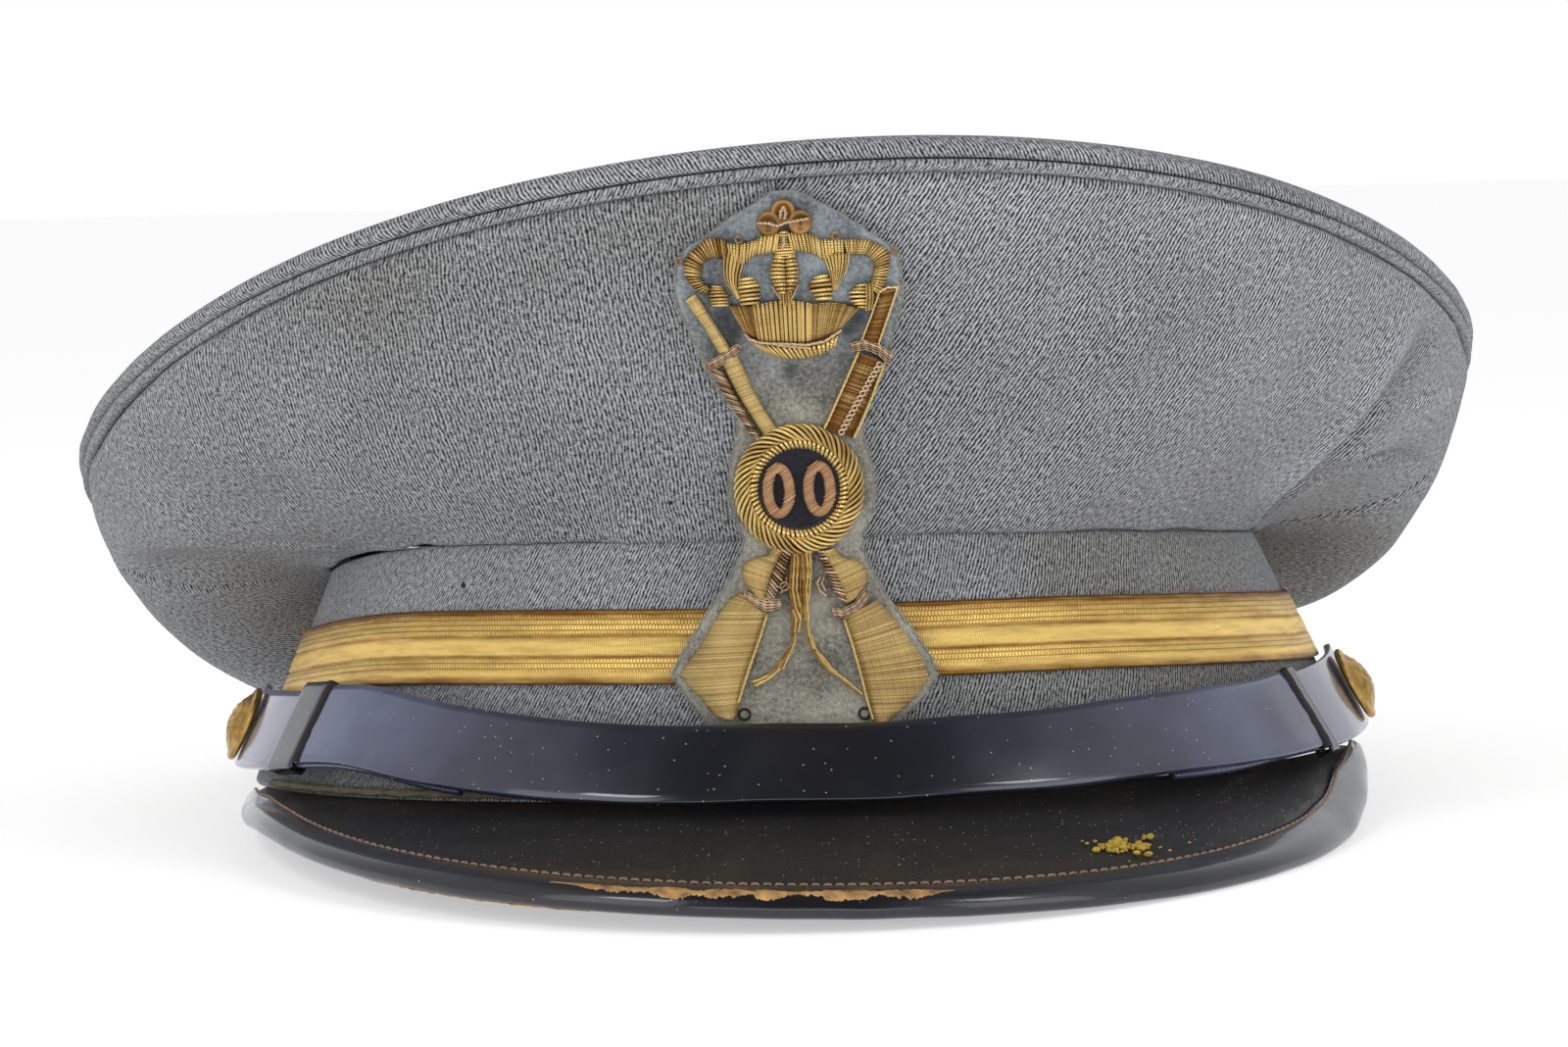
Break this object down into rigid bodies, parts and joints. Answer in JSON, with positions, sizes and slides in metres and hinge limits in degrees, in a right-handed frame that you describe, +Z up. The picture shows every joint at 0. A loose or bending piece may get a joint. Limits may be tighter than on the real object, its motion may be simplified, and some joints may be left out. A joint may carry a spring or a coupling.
{
  "type": "peaked cap",
  "caption": "Officer's peaked cap of field-grey twill with a gold braid band, patent chin strap, bound leather peak and embroidered bullion badge.",
  "frame": {"origin": "on the surface that the cap stands on, under the centre of its box", "axes": "+Z up, -Y where the peak points, +X to the right of someone who faces the badge"},
  "size_m": [0.2298, 0.2632, 0.1071],
  "materials": {
    "cloth": "wool twill, field grey",
    "felt": "felt, blue grey",
    "gold_braid": "woven metallic thread",
    "bullion": "embroidered metal wire",
    "welt_thread": "twisted cord",
    "numeral_thread": "satin stitch",
    "patent_leather": "patent, glossy",
    "peak_leather": "grained, satin",
    "disc": "dark felt",
    "gilt": "gilt, stamped relief"
  },
  "bodies": {
    "root": {"band": "cloth", "braid": "gold_braid", "quarter_front_left": "cloth", "quarter_front_right": "cloth", "quarter_rear_right": "cloth", "quarter_rear_left": "cloth", "rim_welt": "cloth", "crown_top": "cloth", "peak": "peak_leather", "peak_binding": "patent_leather", "band_edge_welt": "welt_thread", "chin_strap": "patent_leather", "strap_end_left": "patent_leather", "strap_end_right": "patent_leather", "keeper_left": "patent_leather", "keeper_right": "patent_leather", "button_left": "gilt", "button_right": "gilt", "badge_backing": "felt", "badge_crown": "bullion", "badge_rosette": "bullion", "rifle_barrel_left": "bullion", "rifle_barrel_right": "bullion", "rifle_butt_left": "bullion", "rifle_butt_right": "bullion", "ribbon_left": "bullion", "ribbon_right": "bullion", "badge_ring": "bullion", "badge_disc": "disc", "numeral_left": "numeral_thread", "numeral_right": "numeral_thread"}
  },
  "joints": []
}
